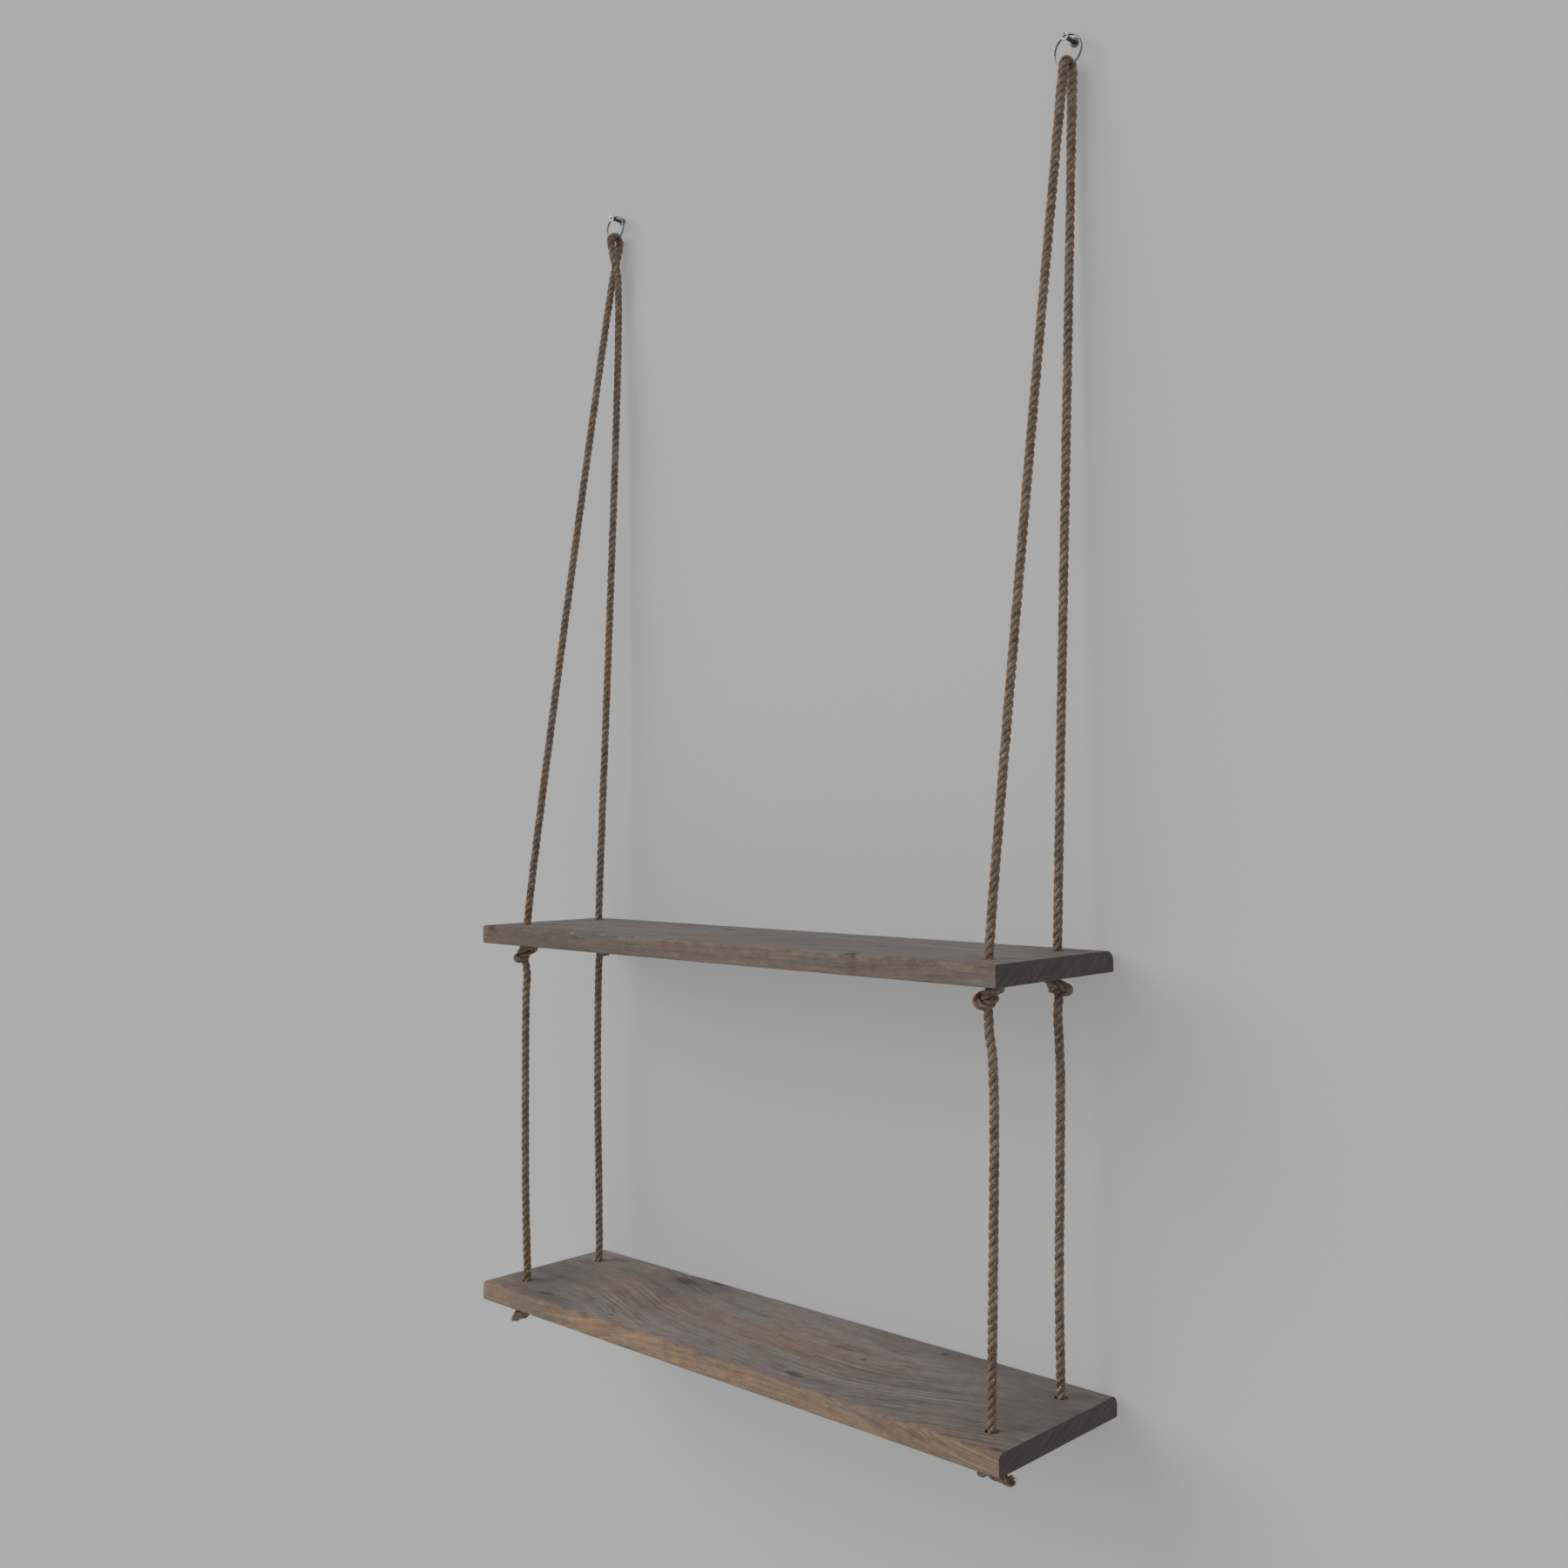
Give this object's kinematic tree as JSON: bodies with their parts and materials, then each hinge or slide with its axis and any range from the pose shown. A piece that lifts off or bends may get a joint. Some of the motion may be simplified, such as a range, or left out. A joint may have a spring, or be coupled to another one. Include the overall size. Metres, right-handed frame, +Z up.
{
  "type": "hanging rope shelf",
  "caption": "Hanging shelf of wooden planks on knotted jute ropes, looped over split rings on wall screws, free to swing and sway.",
  "frame": {"origin": "on the wall plane, midway between the axes of the two wall screws", "axes": "+X along the planks to the viewer's right, +Y into the wall, +Z up; the front faces -Y"},
  "size_m": [0.7, 0.212, 1.2831],
  "materials": {
    "weathered_wood": "old unpainted softwood plank, grey-brown, worn edges, matt",
    "jute_rope": "three-strand laid jute rope, dry and slightly hairy",
    "spring_steel": "bright nickel-plated wire",
    "bright_zinc": "bright zinc-plated steel",
    "plug_plastic": "dark grey moulded nylon"
  },
  "bodies": {
    "wall_fixings": {"wall_plug_left": "plug_plastic", "wall_plug_right": "plug_plastic", "wall_screw_left": "bright_zinc", "wall_screw_right": "bright_zinc"},
    "left_ring": {"split_ring_left": "spring_steel"},
    "right_ring": {"split_ring_right": "spring_steel"},
    "left_bridle": {"bridle_rope_left": "jute_rope"},
    "right_bridle": {"bridle_rope_right": "jute_rope"},
    "upper_shelf": {"upper_board": "weathered_wood", "upper_knot_front_left": "jute_rope", "upper_knot_front_right": "jute_rope", "upper_knot_rear_left": "jute_rope", "upper_knot_rear_right": "jute_rope"},
    "bend_front_left": {"rope_bend_front_left": "jute_rope"},
    "bend_front_right": {"rope_bend_front_right": "jute_rope"},
    "bend_rear_left": {"rope_bend_rear_left": "jute_rope"},
    "bend_rear_right": {"rope_bend_rear_right": "jute_rope"},
    "rope_front_left": {"hanging_rope_front_left": "jute_rope"},
    "rope_front_right": {"hanging_rope_front_right": "jute_rope"},
    "rope_rear_left": {"hanging_rope_rear_left": "jute_rope"},
    "rope_rear_right": {"hanging_rope_rear_right": "jute_rope"},
    "lower_bend": {"lower_rope_bend_front_left": "jute_rope"},
    "lower_shelf": {"lower_board": "weathered_wood", "lower_knot_front_left": "jute_rope", "lower_knot_front_right": "jute_rope", "lower_knot_rear_left": "jute_rope", "lower_knot_rear_right": "jute_rope"}
  },
  "joints": [
    {"name": "left_ring_swing", "type": "hinge", "parent": "wall_fixings", "child": "left_ring", "pos_m": [-0.317, -0.012, 0.0031], "axis": [-1, 0, 0], "range_deg": [0, 15]},
    {"name": "right_ring_swing", "type": "hinge", "parent": "wall_fixings", "child": "right_ring", "pos_m": [0.317, -0.012, 0.0031], "axis": [-1, 0, 0], "range_deg": [0, 15]},
    {"name": "left_bridle_sway", "type": "hinge", "parent": "left_ring", "child": "left_bridle", "pos_m": [-0.317, -0.012, -0.0113], "axis": [0, -1, 0], "range_deg": [-10, 10]},
    {"name": "right_bridle_sway", "type": "hinge", "parent": "right_ring", "child": "right_bridle", "pos_m": [0.317, -0.012, -0.0113], "axis": [0, -1, 0], "range_deg": [-10, 10]},
    {"name": "upper_shelf_level", "type": "hinge", "parent": "left_bridle", "child": "upper_shelf", "pos_m": [-0.317, -0.092, -0.8321], "axis": [0, -1, 0], "range_deg": [-10, 10]},
    {"name": "front_left_rope_swing", "type": "hinge", "parent": "upper_shelf", "child": "bend_front_left", "pos_m": [-0.317, -0.144, -0.8869], "axis": [-1, 0, 0], "range_deg": [0, 15]},
    {"name": "front_right_rope_swing", "type": "hinge", "parent": "upper_shelf", "child": "bend_front_right", "pos_m": [0.317, -0.144, -0.8869], "axis": [-1, 0, 0], "range_deg": [0, 15]},
    {"name": "rear_left_rope_swing", "type": "hinge", "parent": "upper_shelf", "child": "bend_rear_left", "pos_m": [-0.317, -0.04, -0.8869], "axis": [-1, 0, 0], "range_deg": [0, 15]},
    {"name": "rear_right_rope_swing", "type": "hinge", "parent": "upper_shelf", "child": "bend_rear_right", "pos_m": [0.317, -0.04, -0.8869], "axis": [-1, 0, 0], "range_deg": [0, 15]},
    {"name": "front_left_rope_sway", "type": "hinge", "parent": "bend_front_left", "child": "rope_front_left", "pos_m": [-0.317, -0.144, -0.8869], "axis": [0, -1, 0], "range_deg": [-10, 10]},
    {"name": "front_right_rope_sway", "type": "hinge", "parent": "bend_front_right", "child": "rope_front_right", "pos_m": [0.317, -0.144, -0.8869], "axis": [0, -1, 0], "range_deg": [-10, 10]},
    {"name": "rear_left_rope_sway", "type": "hinge", "parent": "bend_rear_left", "child": "rope_rear_left", "pos_m": [-0.317, -0.04, -0.8869], "axis": [0, -1, 0], "range_deg": [-10, 10]},
    {"name": "rear_right_rope_sway", "type": "hinge", "parent": "bend_rear_right", "child": "rope_rear_right", "pos_m": [0.317, -0.04, -0.8869], "axis": [0, -1, 0], "range_deg": [-10, 10]},
    {"name": "lower_bend_level", "type": "hinge", "parent": "rope_front_left", "child": "lower_bend", "pos_m": [-0.317, -0.144, -1.2281], "axis": [0, -1, 0], "range_deg": [-10, 10]},
    {"name": "lower_shelf_level", "type": "hinge", "parent": "lower_bend", "child": "lower_shelf", "pos_m": [-0.317, -0.144, -1.2281], "axis": [-1, 0, 0], "range_deg": [-15, 0]}
  ],
  "couplings": [
    {"joint": "right_ring_swing", "follows": "left_ring_swing", "ratio": 1},
    {"joint": "right_bridle_sway", "follows": "left_bridle_sway", "ratio": 1},
    {"joint": "upper_shelf_level", "follows": "left_bridle_sway", "ratio": -1},
    {"joint": "front_right_rope_swing", "follows": "front_left_rope_swing", "ratio": 1},
    {"joint": "rear_left_rope_swing", "follows": "front_left_rope_swing", "ratio": 1},
    {"joint": "rear_right_rope_swing", "follows": "front_left_rope_swing", "ratio": 1},
    {"joint": "front_right_rope_sway", "follows": "front_left_rope_sway", "ratio": 1},
    {"joint": "rear_left_rope_sway", "follows": "front_left_rope_sway", "ratio": 1},
    {"joint": "rear_right_rope_sway", "follows": "front_left_rope_sway", "ratio": 1},
    {"joint": "lower_bend_level", "follows": "front_left_rope_sway", "ratio": -1},
    {"joint": "lower_shelf_level", "follows": "front_left_rope_swing", "ratio": -1}
  ]
}
